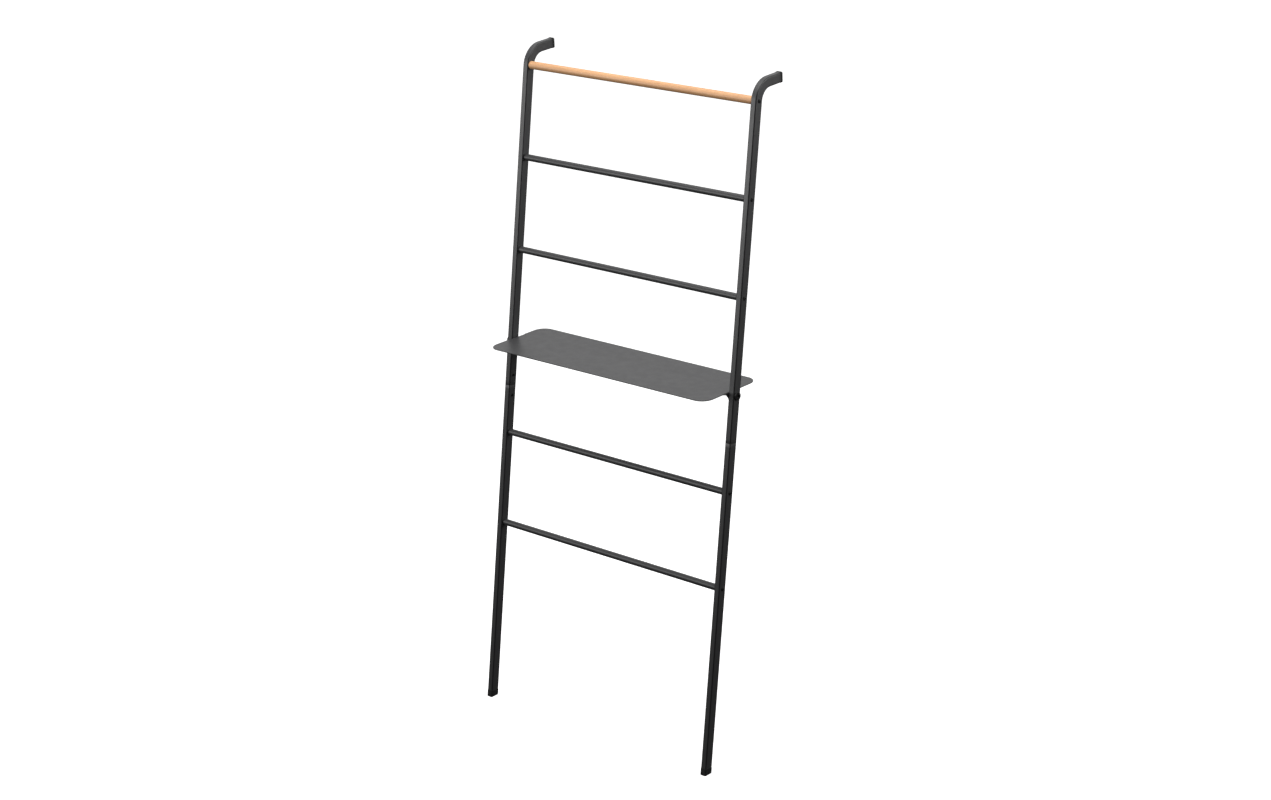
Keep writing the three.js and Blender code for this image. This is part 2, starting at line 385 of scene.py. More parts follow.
@dataclass(frozen=True)
class OiledWood(Finish):
    """Pale oiled hardwood, with its growth rings, pores and rays running along X."""

    name: str = "hardwood_oiled"
    slot: str = "oak"
    heart: tuple[float, float, float] = (0.0, -0.031, -0.052)
    ring_width: float = 0.0021
    early: Colour = (0.83, 0.47, 0.235)
    late: Colour = (0.64, 0.32, 0.145)
    pore_colour: Colour = (0.33, 0.165, 0.075)
    ray_colour: Colour = (0.90, 0.62, 0.38)
    pore_depth: float = 0.00012
    fibre_size: float = 0.00055
    pore_size: float = 0.00032
    ray_size: float = 0.0016
    ring_ripple: float = 0.006
    board_size: float = 0.02
    sway_size: float = 0.16
    sway: float = 0.012

    def paint(self, graph: Graph) -> None:
        """Builds the finish's nodes, centred on the rail.

        Args:
            graph: The material's empty graph.
        """
        low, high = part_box("wood_rail")
        place = graph.vector("SUBTRACT", graph.place(), (low + high) / 2)

        def drawn_out(along: float, up: float = 1.0) -> Signal:
            """The place, drawn out along the grain by one over along."""
            return graph.vector("MULTIPLY", place, (along, 1.0, up))

        sway = graph.noise(graph.vector("MULTIPLY", place, (0.55, 0.0, 0.0)), self.sway_size, 2.0) - 0.5
        from_heart = graph.vector("SUBTRACT", place, self.heart)
        flat = graph.vector("MULTIPLY", from_heart, (0.0, 1.0, 1.0))
        radius = graph.node("ShaderNodeVectorMath", {"operation": "LENGTH"}, {0: flat}, "Value")
        rings = (radius + self.sway * sway) / self.ring_width
        uneven = rings + 0.6 * graph.noise(drawn_out(0.3), self.ring_ripple, 2.0)
        year = graph.node("ShaderNodeMath", {"operation": "FRACT"}, {0: uneven})
        latewood = (year ** 2.2) * (1.0 - year.above(0.9, 0.1))
        fibre = graph.noise(drawn_out(0.012), self.fibre_size, 3.0, 0.6)
        board = graph.noise(drawn_out(0.2), self.board_size, 2.0)
        pore_field = graph.noise(drawn_out(0.07), self.pore_size, 1.0)
        pores = pore_field.above(0.63, 0.06) * (1.0 - 0.75 * latewood)
        ray_field = graph.noise(drawn_out(0.16, 0.45), self.ray_size, 1.0)
        rays = ray_field.above(0.66, 0.08)
        colour = graph.mix((0.75 * latewood + 0.5 * (fibre - 0.45)).clipped(), self.early, self.late)
        colour = graph.mix(0.3 * board.above(0.4, 0.3), colour, self.late)
        colour = graph.mix(0.35 * rays, colour, self.ray_colour)
        colour = graph.mix(0.6 * pores, colour, self.pore_colour)
        height = 0.55 * (1.0 - pores) + 0.25 * fibre + 0.2 * latewood
        graph.surface(
            Base_Color=colour,
            Roughness=(0.44 + 0.22 * pores + 0.16 * (fibre - 0.5) - 0.05 * latewood).clipped(),
            Metallic=0.0,
            Specular_IOR_Level=0.45,
            Normal=graph.bump(height, self.pore_depth, 0.55),
        )


@dataclass(frozen=True)
class MouldedRubber(Finish):
    """Matte black rubber with a spark-eroded mould texture and dust where it meets a surface."""

    name: str = "moulded_rubber_black"
    slot: str = "rubber"
    colour: Colour = (0.012, 0.012, 0.0125)
    dust_colour: Colour = (0.05, 0.048, 0.045)
    grain: float = 0.00055
    grain_depth: float = 0.00006
    cloud_size: float = 0.006
    dust_level: float = 0.0005
    dust_fade: float = 0.004

    def paint(self, graph: Graph) -> None:
        """Builds the finish's nodes.

        Args:
            graph: The material's empty graph.
        """
        place = graph.place()
        grain = graph.noise(place, self.grain, 3.0, 0.6)
        clouds = graph.noise(place, self.cloud_size, 3.0, 0.6)
        height = graph.split(place)[2]
        near_floor = 1.0 - height.above(self.dust_level, self.dust_fade)
        dust = (near_floor * clouds.above(0.35, 0.3) + 0.35 * graph.wear() * clouds).clipped()
        colour = graph.mix(clouds.above(0.35, 0.4), self.colour, brighter(self.colour, 1.4))
        graph.surface(
            Base_Color=graph.mix(0.5 * dust, colour, self.dust_colour),
            Roughness=(0.72 + 0.16 * (grain - 0.5) + 0.1 * dust).clipped(),
            Metallic=0.0,
            Specular_IOR_Level=0.4,
            Normal=graph.bump(grain, self.grain_depth, 0.7),
        )


@dataclass(frozen=True)
class BlackenedSteel(Finish):
    """Black-oxide screws: turned rings on the head, bare steel and a painted highlight at the edges,
    painted shade in the socket.
    """

    name: str = "blackened_screw_steel"
    slot: str = "bolt_black"
    colour: Colour = (0.007, 0.007, 0.0075)
    # Bare steel on the worn edges, which also stands in for a painted highlight.
    bare_colour: Colour = (0.16, 0.16, 0.165)
    # The painted shade inside the socket.
    grime_colour: Colour = (0.002, 0.002, 0.002)
    turning_pitch: float = 0.00035
    turning_depth: float = 0.00002
    blotch_size: float = 0.0016

    def paint(self, graph: Graph) -> None:
        """Builds the finish's nodes.

        Args:
            graph: The material's empty graph.
        """
        place = graph.place()
        spin = graph.node("ShaderNodeAttribute", {"attribute_name": "turn_radius"}, output="Fac")
        phase = spin * (math.tau / self.turning_pitch)
        turns = graph.node("ShaderNodeMath", {"operation": "SINE"}, {0: phase})
        blotch = graph.noise(place, self.blotch_size, 3.0, 0.6)
        # Bare steel and a painted highlight along the head's edges.
        worn_and_highlight = graph.wear().above(0.72, 0.25) * blotch.above(0.4, 0.2)
        # Painted shade in the socket, where the mesh carries -1.
        socket_shade = (-0.9 * graph.wear()).clipped()
        oil = graph.mix(blotch.above(0.35, 0.35), self.colour, brighter(self.colour, 1.5))
        rubbed_and_highlit = graph.mix(0.55 * worn_and_highlight, oil, self.bare_colour)
        graph.surface(
            Base_Color=graph.mix(socket_shade, rubbed_and_highlit, self.grime_colour),
            Roughness=(0.4 + 0.14 * (blotch - 0.5) - 0.06 * worn_and_highlight).clipped(),
            Metallic=0.15,
            Specular_IOR_Level=0.25,
            Normal=graph.bump(0.5 + 0.35 * turns + 0.15 * blotch, self.turning_depth, 0.6),
        )


@dataclass(frozen=True)
class ZincPlate(Finish):
    """Zinc-plated steel with a fine crystalline bloom."""

    name: str = "zinc_plated_steel"
    slot: str = "zinc"
    colour: Colour = (0.52, 0.53, 0.55)
    warm_colour: Colour = (0.50, 0.47, 0.38)
    crystal: float = 0.0018
    crystal_depth: float = 0.00003
    bloom_size: float = 0.004

    def paint(self, graph: Graph) -> None:
        """Builds the finish's nodes.

        Args:
            graph: The material's empty graph.
        """
        place = graph.place()
        settings = {"feature": "F1", "distance": "EUCLIDEAN"}
        values = {"Vector": place, "Scale": 1.0 / self.crystal}
        crystals = graph.node("ShaderNodeTexVoronoi", settings, values, "Distance")
        bloom = graph.noise(place, self.bloom_size, 3.0, 0.6)
        graph.surface(
            Base_Color=graph.mix(bloom.above(0.4, 0.3), self.colour, self.warm_colour),
            Roughness=(0.34 + 0.2 * (bloom - 0.4) + 0.08 * crystals).clipped(),
            Metallic=1.0,
            Normal=graph.bump(0.6 * crystals + 0.4 * bloom, self.crystal_depth, 0.5),
        )


@dataclass(frozen=True)
class StudioFloor(Finish):
    """A plain pale floor, barely mottled."""

    name: str = "studio_floor_pale"
    slot: str = ""
    colour: Colour = (0.86, 0.86, 0.86)
    glow: float = 0.75
    mottle_size: float = 0.6

    def paint(self, graph: Graph) -> None:
        """Builds the floor's nodes.

        Args:
            graph: The material's empty graph.
        """
        mottle = graph.noise(graph.place(), self.mottle_size, 3.0, 0.5)
        graph.surface(
            Base_Color=graph.mix(mottle, self.colour, brighter(self.colour, 0.985)),
            Roughness=0.8 + 0.05 * (mottle - 0.5),
            Specular_IOR_Level=0.2,
            Emission_Color=(1.0, 1.0, 1.0),
            Emission_Strength=self.glow,
        )


# Mesh building


@dataclass(frozen=True)
class RimPoint:
    """A point of a section: its offsets along X and towards the wall, and its wear-and-shade value,
    which marks edges for wear and painted shade.
    """

    across: float
    out: float
    wear: float = 0.0


@dataclass(frozen=True)
class Station:
    """A place on a path and the path's direction there."""

    point: Vector
    along: Vector

    @property
    def out(self) -> Vector:
        """The direction square to the path and to X."""
        return self.along.cross(ACROSS)

    def moved(self, distance: float) -> "Station":
        """The station carried along its own direction."""
        return Station(self.point + self.along * distance, self.along)

    def spot(self, rim: RimPoint) -> Vector:
        """Where a point of a section lies at this station."""
        return self.point + ACROSS * rim.across + self.out * rim.out


def rounded_section(width: float, depth: float, corner: float) -> list[RimPoint]:
    """The outline of a rectangular tube.

    Args:
        width: Its size along X.
        depth: Its size towards the wall.
        corner: The radius of its corners.

    Returns:
        The outline's points. Wear is 1 in the middle of a corner and falls to 0 just past its ends.
    """
    per_corner = 6
    least_wear_and_shade = 0.3
    margin = min(1.2 * MM, 0.25 * min(width, depth))
    points: list[RimPoint] = []
    for quarter in range(4):
        start = quarter * math.pi / 2
        x_sign = 1 if quarter in (0, 3) else -1
        y_sign = 1 if quarter in (0, 1) else -1
        centre = (x_sign * (width / 2 - corner), y_sign * (depth / 2 - corner))
        for step in range(-1, per_corner + 2):
            inside = 0 <= step <= per_corner
            angle = start + (math.pi / 2) * min(max(step, 0), per_corner) / per_corner
            x = centre[0] + corner * math.cos(angle)
            y = centre[1] + corner * math.sin(angle)
            if not inside:
                back = margin if step < 0 else -margin
                x += back * math.sin(angle)
                y -= back * math.cos(angle)
            more_wear_and_shade = math.sin(math.pi * step / per_corner) * (1 - least_wear_and_shade)
            points.append(RimPoint(x, y, more_wear_and_shade + least_wear_and_shade if inside else 0.0))
    return points


class MeshMaker:
    """A mesh grown ring by ring, with a wear-and-shade value and a turning radius on every vertex.

    That value is 1 on an exposed edge, 0 on a face and -1 in a recess; finishes paint wear, painted
    shade and painted highlights along edges with it, and painted shade in recesses.
    """

    def __init__(self, name: str) -> None:
        """Starts an empty mesh.

        Args:
            name: The name of the piece.
        """
        self.name = name
        self.mesh = bmesh.new()
        self.wear = self.mesh.verts.layers.float.new("wear")
        self.turn = self.mesh.verts.layers.float.new("turn_radius")

    def ring(self, points: Sequence[Vector], wear: Sequence[float], turn: float = 0.0) -> Ring:
        """Adds a ring of vertices.

        Args:
            points: Where they are.
            wear: The wear-and-shade value of each.
            turn: Their distance from the axis that the piece is turned about.

        Returns:
            The vertices.
        """
        made = []
        for point, value in zip(points, wear, strict=True):
            vertex = self.mesh.verts.new(point)
            vertex[self.wear] = value
            vertex[self.turn] = turn
            made.append(vertex)
        return made

    def skin(self, rings: Sequence[Ring], closed: bool = False) -> None:
        """Joins neighbouring rings with faces.

        Args:
            rings: Rings with the same number of vertices.
            closed: Whether the last ring joins the first.
        """
        pairs = list(zip(rings, rings[1:], strict=False))
        if closed:
            pairs.append((rings[-1], rings[0]))
        for here, there in pairs:
            count = len(here)
            for i in range(count):
                j = (i + 1) % count
                self.mesh.faces.new((here[i], here[j], there[j], there[i]))

    def lid(self, ring: Ring) -> None:
        """Closes a ring with one face."""
        self.mesh.faces.new(ring)

    def piece(self, sharp_degrees: float = 34.0) -> bpy.types.Object:
        """Ends the mesh.

        Args:
            sharp_degrees: Edges that turn further than this stay crisp.

        Returns:
            The object, linked into the scene.
        """
        bmesh.ops.recalc_face_normals(self.mesh, faces=self.mesh.faces)
        data = bpy.data.meshes.new(self.name)
        self.mesh.to_mesh(data)
        self.mesh.free()
        data.shade_smooth()
        data.set_sharp_from_angle(angle=math.radians(sharp_degrees))
        made = bpy.data.objects.new(self.name, data)
        bpy.context.scene.collection.objects.link(made)
        return made


def dress(piece: bpy.types.Object, finish: Finish, *nodes: str) -> bpy.types.Object:
    """Gives a piece its finish and ties it to the frame.

    Args:
        piece: The finished mesh, in place.
        finish: Its finish.
        nodes: The frame nodes that it stands for.

    Returns:
        The piece.
    """
    piece.data.materials.clear()
    piece.data.materials.append(finish.material())
    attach(piece, BODY)
    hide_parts(*nodes)
    faces = len(piece.data.polygons)
    LOG.info("%s: %d faces, %s, stands for %s", piece.name, faces, finish.name, ", ".join(nodes))
    return piece


def middle(node: str) -> Vector:
    """The middle of a frame node's box."""
    low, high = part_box(node)
    return (low + high) / 2


# The rack's sub-assemblies


@dataclass(frozen=True)
class TubeStock:
    """The rectangular tube that the uprights are made of."""

    width: float = 15.5 * MM
    depth: float = 23.0 * MM
    corner: float = 2.5 * MM
    wall: float = 1.2 * MM


@dataclass
class UprightLine:
    """The centre line of one upright: straight up from the floor, then bent over to the wall."""

    side: Side
    stock: TubeStock
    bend_radius: float = 43.0 * MM
    hook_rise: float = math.radians(2.5)
    foot: Vector = field(init=False)
    along: Vector = field(init=False)
    bend_start: float = field(init=False)
    wall: float = field(init=False)

    def __post_init__(self) -> None:
        """Reads the line's place from the frame."""
        low_step = middle("rung_4")
        rail = middle("wood_rail")
        self.along = (rail - low_step).normalized()
        self.foot = low_step - self.along * (low_step.z / self.along.z)
        self.foot.x = middle(f"{self.side.word}_upright_lower").x
        self.bend_start = rail.z / self.along.z
        self.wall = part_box(f"{self.side.word}_wall_cap")[1].y

    def straight(self, distance: float) -> Station:
        """The station at a distance from the floor."""
        return Station(self.foot + self.along * distance, self.along)

    @property
    def bend_turn(self) -> float:
        """The angle through which the upright is bent."""
        return math.atan2(self.along.z, self.along.y) - self.hook_rise

    def bent(self, angle: float) -> Station:
        """Walks round the bend.

        Args:
            angle: How far the bend has turned.

        Returns:
            The station there.
        """
        start = self.straight(self.bend_start)
        centre = start.point + start.out * self.bend_radius
        point = centre - start.out * (self.bend_radius * math.cos(angle))
        point += start.along * (self.bend_radius * math.sin(angle))
        along = start.along * math.cos(angle) + start.out * math.sin(angle)
        return Station(point, along.normalized())

    def hook(self, before_wall: float) -> Station:
        """Walks along the hook.

        Args:
            before_wall: The level distance that is left to the wall.

        Returns:
            The station there.
        """
        end = self.bent(self.bend_turn)
        run = (self.wall - before_wall - end.point.y) / end.along.y
        return end.moved(run)

    def distance_at_top(self, height: float) -> float:
        """How far along the tube a square cut is whose highest point is at the given height."""
        return (height - self.along.y * self.stock.depth / 2) / self.along.z

    def distance_at_bottom(self, height: float) -> float:
        """How far along the tube a square cut is whose lowest point is at the given height."""
        return (height + self.along.y * self.stock.depth / 2) / self.along.z


@dataclass
class UprightTube:
    """The two sections of one upright, drawn from rectangular tube."""

    line: UprightLine
    stock: TubeStock
    finish: Finish
    edge: float = 0.35 * MM
    least_corner: float = 0.6 * MM
    bend_steps: int = 26
    hook_cut: float = 4.0 * MM
    end_margin: float = 10.0 * MM
    flattening: float = 0.035
    bulge: float = 0.02

    def section(self, inset: float) -> list[RimPoint]:
        """The tube's outline, taken in by an inset."""
        corner = max(self.stock.corner - inset, self.least_corner)
        return rounded_section(self.stock.width - 2 * inset, self.stock.depth - 2 * inset, corner)

    def squeezed(self, rim: RimPoint, strain: float) -> RimPoint:
        """Moves a rim point as the bend strains the tube: flatter outside, wider inside.

        Args:
            rim: The point.
            strain: How hard the tube is bent there, from 0 to 1.

        Returns:
            The moved point.
        """
        if rim.out < 0:
            return RimPoint(rim.across, rim.out * (1 - self.flattening * strain), rim.wear)
        return RimPoint(rim.across * (1 + self.bulge * strain), rim.out, rim.wear)

    def tube(self, name: str, path: Sequence[tuple[Station, float]]) -> bpy.types.Object:
        """Draws a tube with a wall and softened ends.

        Args:
            name: The piece's name.
            path: Stations from end to end, each with the strain of the bend there.

        Returns:
            The piece.
        """
        maker = MeshMaker(name)
        first, last = path[0][0], path[-1][0]
        diagonal = math.sin(math.pi / 4)
        rounding = [
            (self.edge, 0.0),
            (self.edge * (1 - diagonal), self.edge * (1 - diagonal)),
            (0.0, self.edge),
        ]
        plan = [(first.moved(shift), inset, 0.0) for inset, shift in rounding]
        plan += [(station, 0.0, strain) for station, strain in path[1:-1]]
        plan += [(last.moved(-shift), inset, 0.0) for inset, shift in reversed(rounding)]
        wall = self.stock.wall
        plan += [(last, wall, 0.0)]
        plan += [(station, wall, strain) for station, strain in reversed(path[1:-1])]
        plan += [(first, wall, 0.0)]
        rings = []
        for station, inset, strain in plan:
            rims = [self.squeezed(rim, strain) for rim in self.section(inset)]
            # Corners and softened ends get a high wear-and-shade value, which paints shade along them.
            at_end = 0 < inset < wall
            wear = [1.0 if at_end else rim.wear * (inset < wall) for rim in rims]
            rings.append(maker.ring([station.spot(rim) for rim in rims], wear))
        maker.skin(rings, closed=True)
        return maker.piece()

    def build(self) -> None:
        """Makes the lower and the upper section."""
        word = self.line.side.word
        for level in ("lower", "upper"):
            node = f"{word}_upright_{level}"
            low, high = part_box(node)
            start = self.line.straight(self.line.distance_at_bottom(low.z))
            margin = self.end_margin
            if level == "lower":
                end = self.line.straight(self.line.distance_at_top(high.z))
                path = [(start, 0.0), (start.moved(margin), 0.0), (end.moved(-margin), 0.0), (end, 0.0)]
            else:
                path = [(start, 0.0), (start.moved(margin), 0.0)]
                for step in range(self.bend_steps + 1):
                    turn = self.line.bend_turn * step / self.bend_steps
                    strain = math.sin(math.pi * step / self.bend_steps)
                    path.append((self.line.bent(turn), strain))
                end = self.line.hook(self.hook_cut)
                path += [(end.moved(-margin), 0.0), (end, 0.0)]
            dress(self.tube(f"{word}_{level}_tube", path), self.finish, node)


@dataclass
class EndCap:
    """A moulded rubber cup on the end of a tube, cut flat where it meets the floor or the wall."""

    name: str
    node: str
    mouth: Station
    plane_point: Vector
    plane_normal: Vector
    stock: TubeStock
    finish: Finish
    cup: float
    skin: float = 0.6 * MM
    fit: float = 0.15 * MM
    least_corner: float = 0.6 * MM
    bead: float = 0.1 * MM
    bead_height: float = 0.8 * MM
    edge: float = 0.9 * MM
    edge_steps: int = 4

    def rims(self, skin: float) -> list[RimPoint]:
        """The cap's outline, standing out from the tube by skin."""
        corner = max(self.stock.corner + skin, self.least_corner)
        return rounded_section(self.stock.width + 2 * skin, self.stock.depth + 2 * skin, corner)

    def on_plane(self, rim: RimPoint, short: float) -> Vector:
        """Follows a rim point's line along the tube to the cap's flat end.

        Args:
            rim: The point of the cap's outline.
            short: How far short of the flat end to stop.

        Returns:
            The place.
        """
        start = self.mouth.spot(rim)
        gap = (self.plane_point - start).dot(self.plane_normal) - short
        return start + self.mouth.along * (gap / self.mouth.along.dot(self.plane_normal))

    def build(self) -> None:
        """Makes the cap."""
        maker = MeshMaker(self.name)
        inner = self.rims(self.fit)
        rings = []
        for shift in (self.cup, 0.3 * MM, 0.0):
            points = [self.mouth.moved(shift).spot(rim) for rim in inner]
            rings.append(maker.ring(points, [0.0] * len(inner)))
        lip = [
            (self.skin * 0.55, 0.0, 0.6),
            (self.skin + self.bead * 0.6, 0.12 * MM, 1.0),
            (self.skin + self.bead, 0.3 * MM, 0.8),
            (self.skin + self.bead, self.bead_height, 0.5),
            (self.skin, self.bead_height + 0.2 * MM, 0.0),
            (self.skin, self.bead_height + 0.5 * MM, 0.0),
        ]
        for skin, shift, wear in lip:
            rims = self.rims(skin)
            points = [self.mouth.moved(shift).spot(rim) for rim in rims]
            rings.append(maker.ring(points, [wear] * len(rims)))
        for step in range(self.edge_steps + 1):
            angle = math.pi / 2 * step / self.edge_steps
            skin = self.skin - self.edge * (1 - math.cos(angle))
            short = self.edge * (1 - math.sin(angle))
            rims = self.rims(skin)
            rings.append(maker.ring([self.on_plane(rim, short) for rim in rims], [0.8] * len(rims)))
        maker.skin(rings)
        maker.lid(rings[0])
        maker.lid(rings[-1])
        dress(maker.piece(), self.finish, self.node)


@dataclass
class CapPair:
    """The rubber foot and the rubber wall cap of one upright."""

    line: UprightLine
    finish: Finish
    foot_height: float = 15.0 * MM
    foot_cup: float = 11.2 * MM
    wall_length: float = 6.0 * MM
    wall_cup: float = 2.2 * MM

    def build(self) -> None:
        """Makes both caps."""
        line, word = self.line, self.line.side.word
        foot_mouth = line.straight(self.foot_height)
        down = Station(foot_mouth.point, -foot_mouth.along)
        floor_point = Vector((line.foot.x, line.foot.y, 0.0))
        foot = (f"{word}_foot_cap", f"{word}_foot", down, floor_point, -UP)
        EndCap(*foot, line.stock, self.finish, self.foot_cup).build()
        wall_mouth = line.hook(self.wall_length)
        wall_point = Vector((line.foot.x, line.wall, wall_mouth.point.z))
        wall = (f"{word}_wall_buffer", f"{word}_wall_cap", wall_mouth, wall_point, TOWARDS_WALL)
        EndCap(*wall, line.stock, self.finish, self.wall_cup).build()


@dataclass
class RoundBar:
    """A rung or rail turned about X, with softened ends."""

    name: str
    node: str
    finish: Finish
    bore: float
    edge: float
    margin: float = 6.0 * MM
    edge_steps: int = 4
    around: int = 56

    def build(self) -> None:
        """Makes the bar from its outer skin, its ends and its bore."""
        low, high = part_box(self.node)
        centre = (low + high) / 2
        radius = (high.z - low.z) / 2
        maker = MeshMaker(self.name)
        profile = self._end(low.x, radius, 1)
        profile += [(low.x + self.margin, radius, 0.0), (high.x - self.margin, radius, 0.0)]
        profile += reversed(self._end(high.x, radius, -1))
        profile += [(high.x, self.bore, 0.0), (low.x, self.bore, 0.0)]
        rings = []
        for x, ring_radius, wear in profile:
            points = []
            for i in range(self.around):
                angle = math.tau * i / self.around
                offset = Vector((0.0, math.cos(angle), math.sin(angle))) * ring_radius
                points.append(Vector((x, centre.y, centre.z)) + offset)
            rings.append(maker.ring(points, [wear] * self.around, ring_radius))
        maker.skin(rings, closed=True)
        dress(maker.piece(), self.finish, self.node)

    def _end(self, x: float, radius: float, inward: int) -> list[tuple[float, float, float]]:
        """Softens the corner at one end.

        Args:
            x: The place of the end face.
            radius: The bar's radius.
            inward: The sign of the X direction into the bar.

        Returns:
            Places along X, radii and wear-and-shade values, from the end face to the skin.
        """
        corner = []
        for step in range(self.edge_steps + 1):
            angle = math.pi / 2 * step / self.edge_steps
            place = x + inward * self.edge * (1 - math.cos(angle))
            corner.append((place, radius - self.edge * (1 - math.sin(angle)), 0.8))
        return corner


@dataclass(frozen=True)
class HeadSize:
    """The size and the shape of a socket screw's head."""

    radius: float
    height: float
    socket: float
    shape: HeadShape = HeadShape.BUTTON


@dataclass
class SocketScrew:
    """A screw whose head stands on a tube's face and is driven by a hexagon key."""

    name: str
    node: str
    finish: Finish
    facing: int
    seat: float
    head: HeadSize
    socket_depth: float = 0.8
    socket_lip: float = 0.18 * MM
    chamfer_ratio: float = 1.14
    flat_edge: float = 0.55 * MM
    flat_land: float = 0.5 * MM
    dome_start: float = 0.3
    dome_land: float = 0.35 * MM
    edge_steps: int = 4
    dome_steps: int = 6
    around: int = 48

    def hexagon(self, angle: float) -> float:
        """The distance from the axis to the key's hexagon, in the direction of an angle."""
        sixth = math.pi / 3
        return self.head.socket * math.cos(sixth / 2) / math.cos((angle % sixth) - sixth / 2)

    def head_profile(self) -> list[tuple[float, float, float]]:
        """The head's turned outline.

        Returns:
            Heights above the seat, radii and wear-and-shade values, from the seat to the mouth of the
            socket.
        """
        full, top = self.head.radius, self.head.height
        mouth = self.head.socket * self.chamfer_ratio
        points = [(0.0, full - 0.15 * MM, 0.2), (0.12 * MM, full, 0.7)]
        if self.head.shape is HeadShape.FLAT:
            edge = self.flat_edge
            for step in range(self.edge_steps + 1):
                angle = math.pi / 2 * step / self.edge_steps
                height = top - edge * (1 - math.sin(angle))
                points.append((height, full - edge * (1 - math.cos(angle)), 0.9))
            points.append((top, full - 2.2 * edge, 0.1))
            points.append((top, mouth + self.flat_land, 0.1))
        else:
            rim = self.dome_start * top
            for step in range(self.dome_steps + 1):
                share = step / self.dome_steps
                radius = full + (mouth + self.dome_land - full) * share
                height = rim + (top - rim) * math.sin(math.pi / 2 * share)
                points.append((height, radius, 0.75 if step < 2 else 0.25))
        points.append((top, mouth, 0.85))
        return points

    def build(self) -> None:
        """Makes the screw: its shank inside the tube, its head and its socket."""
        low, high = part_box(self.node)
        centre = (low + high) / 2
        tip = low.x if self.facing > 0 else high.x
        length = abs(self.seat - tip)
        shank = self.head.radius * 0.5
        maker = MeshMaker(self.name)

        def ring(height: float, radius: Callable[[float], float], wear: float) -> Ring:
            """Adds a ring about the screw's axis.

            Args:
                height: Its height above the seat.
                radius: Its radius at each angle.
                wear: Its wear-and-shade value.

            Returns:
                Its vertices.
            """
            points = []
            for i in range(self.around):
                angle = math.tau * i / self.around
                out = radius(angle)
                offset = Vector((self.facing * height, out * math.cos(angle), out * math.sin(angle)))
                points.append(Vector((self.seat, centre.y, centre.z)) + offset)
            return maker.ring(points, [wear] * self.around, radius(0.0))

        rings = [
            ring(-length, lambda a: shank * 0.8, 0.0),
            ring(-length + 0.5 * MM, lambda a: shank, 0.0),
            ring(0.0, lambda a: shank, 0.0),
        ]
        rings += [ring(h, lambda a, r=r: r, w) for h, r, w in self.head_profile()]
        top = self.head.height
        depth = self.socket_depth * top
        # The socket's rings get -1, which paints shade in the socket.
        rings.append(ring(top - self.socket_lip, self.hexagon, -1.0))
        rings.append(ring(top - depth, self.hexagon, -1.0))
        rings.append(ring(top - depth - 0.15 * MM, lambda a: self.head.socket * 0.35, -1.0))
        maker.skin(rings)
        maker.lid(rings[0])
        maker.lid(rings[-1])
        dress(maker.piece(sharp_degrees=28.0), self.finish, self.node)


@dataclass
class HexNut:
    """A hexagon nut with chamfered corners, its axis along X."""

    name: str
    node: str
    finish: Finish
    bore: float = 3.0 * MM
    lead: float = 0.4 * MM
    chamfer: float = 0.55 * MM
    face_ratio: float = 0.97
    shoulder_ratio: float = 1.03
    around: int = 48

    def build(self) -> None:
        """Makes the nut."""
        low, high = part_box(self.node)
        centre = (low + high) / 2
        corner = (high.z - low.z) / 2
        flat = corner * math.cos(math.pi / 6)
        sixth = math.pi / 3

        def hexagon(angle: float) -> float:
            """The distance from the axis to the nut's side."""
            return flat / math.cos((angle % sixth) - sixth / 2)

        def shoulder(angle: float) -> float:
            """The distance from the axis to the chamfer's outer line."""
            return min(hexagon(angle), flat * self.shoulder_ratio)

        plan: list[tuple[float, Callable[[float], float], float]] = [
            (low.x, lambda a: self.bore + self.lead, 0.4),
            (low.x, lambda a: flat * self.face_ratio, 0.5),
            (low.x + self.chamfer * 0.4, shoulder, 0.8),
            (low.x + self.chamfer, hexagon, 0.6),
            (high.x - self.chamfer, hexagon, 0.6),
            (high.x - self.chamfer * 0.4, shoulder, 0.8),
            (high.x, lambda a: flat * self.face_ratio, 0.5),
            (high.x, lambda a: self.bore + self.lead, 0.4),
            (high.x - self.lead, lambda a: self.bore, 0.2),
            (low.x + self.lead, lambda a: self.bore, 0.2),
        ]
        maker = MeshMaker(self.name)
        rings = []
        for x, radius, wear in plan:
            points = []
            for i in range(self.around):
                angle = math.tau * (i + 0.5) / self.around + math.pi / 2
                out = radius(angle - math.pi / 2)
                y = centre.y + out * math.cos(angle)
                z = centre.z + out * math.sin(angle)
                points.append(Vector((x, y, z)))
            rings.append(maker.ring(points, [wear] * self.around, radius(0.0)))
        maker.skin(rings, closed=True)
        dress(maker.piece(sharp_degrees=26.0), self.finish, self.node)


